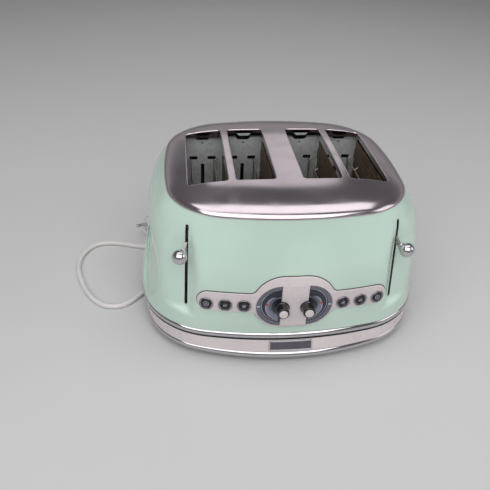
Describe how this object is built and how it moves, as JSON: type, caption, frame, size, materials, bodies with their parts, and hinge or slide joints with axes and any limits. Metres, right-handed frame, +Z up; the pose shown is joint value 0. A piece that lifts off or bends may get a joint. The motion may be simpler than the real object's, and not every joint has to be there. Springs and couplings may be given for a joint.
{
  "type": "toaster",
  "caption": "Retro toaster with long bread slots, twin lift levers, browning dials, push buttons, rear crumb trays and a mains lead with its plug.",
  "frame": {"origin": "on the table under the middle of the toaster's own box, the cord and its plug left out", "axes": "+X to the right of someone who faces the controls, +Y to the back, +Z up"},
  "size_m": [0.4484, 0.4405, 0.2003],
  "materials": {
    "enamel": "glossy baked enamel, mint green",
    "cream": "glossy cream moulding",
    "polished_steel": "polished stainless steel",
    "chrome": "bright chrome plate",
    "galvanised": "galvanised sheet",
    "mica": "mica board with heater wire",
    "wire_grille": "plated steel strip",
    "black_plastic": "glossy black moulding",
    "dial": "dark printed dial",
    "dial_grey": "satin grey ring",
    "rubber": "black rubber",
    "cord": "white sheath",
    "plug": "white moulding",
    "board": "green circuit board",
    "magnet": "iron core and wound coil",
    "steel": "bright drawn steel"
  },
  "bodies": {
    "toaster_body": {"body_shell": "enamel", "top_cover": "polished_steel", "slot_flanges": "polished_steel", "upper_trim_ring": "chrome", "lower_trim_ring": "chrome", "base_housing": "cream", "bottom_plate": "galvanised", "bottom_screws": "steel", "rubber_feet": "rubber", "name_plate": "chrome", "control_fascia": "cream", "button_bezels": "chrome", "cord_gland": "cord", "cord_lead": "cord", "cord_coil": "cord", "cord_tail": "cord", "power_plug": "plug", "left_dial_face": "dial", "left_dial_ring": "dial_grey", "left_control_board": "board", "left_guide_rod": "steel", "left_return_spring": "steel", "left_electromagnet": "magnet", "left_front_plate": "galvanised", "left_rear_plate": "galvanised", "left_heaters": "mica", "right_dial_face": "dial", "right_dial_ring": "dial_grey", "right_control_board": "board", "right_guide_rod": "steel", "right_return_spring": "steel", "right_electromagnet": "magnet", "right_front_plate": "galvanised", "right_rear_plate": "galvanised", "right_heaters": "mica"},
    "left_lift": {"left_carriage": "steel", "left_bread_racks": "wire_grille", "left_lever_arm": "steel", "left_lever_knob": "chrome"},
    "left_browning": {"left_browning_knob": "black_plastic", "left_knob_cap": "cream"},
    "left_tray": {"left_crumb_tray": "galvanised"},
    "left_inner_grilles": {"left_inner_guards": "wire_grille"},
    "left_outer_grilles": {"left_outer_guards": "wire_grille"},
    "left_defrost": {"left_defrost_button": "black_plastic"},
    "left_reheat": {"left_reheat_button": "black_plastic"},
    "left_cancel": {"left_cancel_button": "black_plastic"},
    "right_lift": {"right_carriage": "steel", "right_bread_racks": "wire_grille", "right_lever_arm": "steel", "right_lever_knob": "chrome"},
    "right_browning": {"right_browning_knob": "black_plastic", "right_knob_cap": "cream"},
    "right_tray": {"right_crumb_tray": "galvanised"},
    "right_inner_grilles": {"right_inner_guards": "wire_grille"},
    "right_outer_grilles": {"right_outer_guards": "wire_grille"},
    "right_defrost": {"right_defrost_button": "black_plastic"},
    "right_reheat": {"right_reheat_button": "black_plastic"},
    "right_cancel": {"right_cancel_button": "black_plastic"}
  },
  "joints": [
    {"name": "left_lift_slide", "type": "slide", "parent": "toaster_body", "child": "left_lift", "axis": [0, 0, 1], "range_m": [-0.07, 0.018], "stiffness_N_per_m": 60, "springref_m": 0.01678, "deforming": ["left_return_spring"]},
    {"name": "left_inner_grilles_close", "type": "slide", "parent": "toaster_body", "child": "left_inner_grilles", "axis": [-1, 0, 0], "range_m": [-0.00159, 0.00605]},
    {"name": "left_outer_grilles_close", "type": "slide", "parent": "toaster_body", "child": "left_outer_grilles", "axis": [1, 0, 0], "range_m": [-0.00159, 0.00605]},
    {"name": "left_browning_turn", "type": "hinge", "parent": "toaster_body", "child": "left_browning", "pos_m": [-0.0144, -0.15237, 0.082], "axis": [0, -1, 0], "range_deg": [-85, 85]},
    {"name": "left_tray_slide", "type": "slide", "parent": "toaster_body", "child": "left_tray", "axis": [0, 1, 0], "range_m": [0, 0.2]},
    {"name": "right_lift_slide", "type": "slide", "parent": "toaster_body", "child": "right_lift", "axis": [0, 0, 1], "range_m": [-0.07, 0.018], "stiffness_N_per_m": 60, "springref_m": 0.01678, "deforming": ["right_return_spring"]},
    {"name": "right_inner_grilles_close", "type": "slide", "parent": "toaster_body", "child": "right_inner_grilles", "axis": [1, 0, 0], "range_m": [-0.00159, 0.00605]},
    {"name": "right_outer_grilles_close", "type": "slide", "parent": "toaster_body", "child": "right_outer_grilles", "axis": [-1, 0, 0], "range_m": [-0.00159, 0.00605]},
    {"name": "right_browning_turn", "type": "hinge", "parent": "toaster_body", "child": "right_browning", "pos_m": [0.0144, -0.15237, 0.082], "axis": [0, -1, 0], "range_deg": [-85, 85]},
    {"name": "right_tray_slide", "type": "slide", "parent": "toaster_body", "child": "right_tray", "axis": [0, 1, 0], "range_m": [0, 0.2]},
    {"name": "left_defrost_press", "type": "slide", "parent": "toaster_body", "child": "left_defrost", "axis": [0.1257, 0.9921, 0], "range_m": [0, 0.002], "stiffness_N_per_m": 400, "springref_m": -0.0005},
    {"name": "left_reheat_press", "type": "slide", "parent": "toaster_body", "child": "left_reheat", "axis": [0.1722, 0.9851, 0], "range_m": [0, 0.002], "stiffness_N_per_m": 400, "springref_m": -0.0005},
    {"name": "left_cancel_press", "type": "slide", "parent": "toaster_body", "child": "left_cancel", "axis": [0.2528, 0.9675, 0], "range_m": [0, 0.002], "stiffness_N_per_m": 400, "springref_m": -0.0005},
    {"name": "right_defrost_press", "type": "slide", "parent": "toaster_body", "child": "right_defrost", "axis": [-0.1257, 0.9921, 0], "range_m": [0, 0.002], "stiffness_N_per_m": 400, "springref_m": -0.0005},
    {"name": "right_reheat_press", "type": "slide", "parent": "toaster_body", "child": "right_reheat", "axis": [-0.1722, 0.9851, 0], "range_m": [0, 0.002], "stiffness_N_per_m": 400, "springref_m": -0.0005},
    {"name": "right_cancel_press", "type": "slide", "parent": "toaster_body", "child": "right_cancel", "axis": [-0.2528, 0.9675, 0], "range_m": [0, 0.002], "stiffness_N_per_m": 400, "springref_m": -0.0005}
  ],
  "couplings": [
    {"joint": "left_inner_grilles_close", "follows": "left_lift_slide", "ratio": -0.085714},
    {"joint": "left_outer_grilles_close", "follows": "left_lift_slide", "ratio": -0.085714},
    {"joint": "right_inner_grilles_close", "follows": "right_lift_slide", "ratio": -0.085714},
    {"joint": "right_outer_grilles_close", "follows": "right_lift_slide", "ratio": -0.085714}
  ]
}
